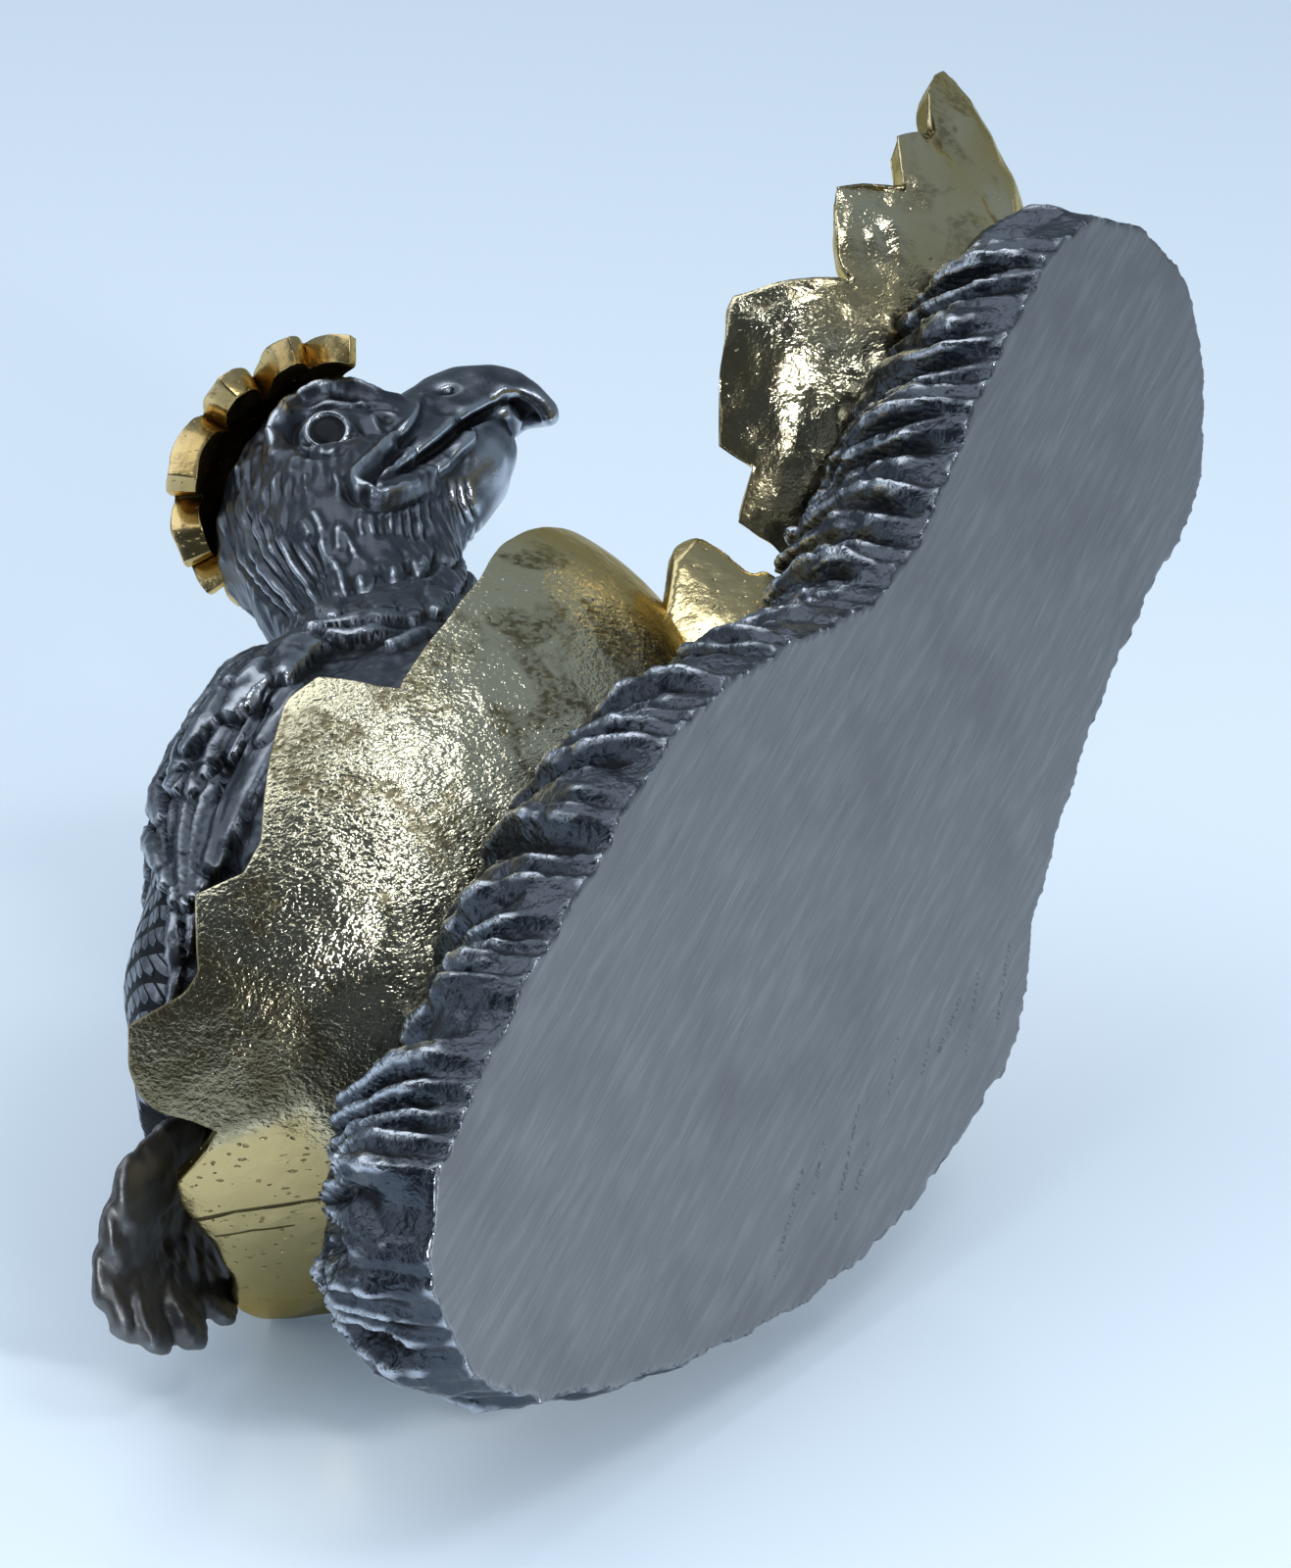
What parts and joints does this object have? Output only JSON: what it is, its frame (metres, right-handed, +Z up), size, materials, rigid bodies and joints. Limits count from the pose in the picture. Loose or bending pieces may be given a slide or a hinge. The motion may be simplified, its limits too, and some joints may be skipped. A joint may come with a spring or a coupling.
{
  "type": "pewter bird sculpture",
  "caption": "Pewter eagle chick sitting in a broken gilded eggshell on a rough rock base with a flat sanded underside.",
  "frame": {"origin": "middle of the flat sanded underside", "axes": "+Z up, square to the underside; +X along the base from the tail towards the beak; +Y towards the chick's left"},
  "size_m": [0.1471, 0.0562, 0.0902],
  "materials": {
    "rock_pewter": "dark patinated pewter, sanded bare below",
    "eagle_pewter": "dark patinated pewter, burnished on the high points",
    "gilding": "polished gold plating over pebbled pewter"
  },
  "bodies": {
    "root": {"rock_base": "rock_pewter", "eagle": "eagle_pewter", "main_shell": "gilding", "front_shell": "gilding", "shell_shard": "gilding", "head_cap": "gilding"}
  },
  "joints": []
}
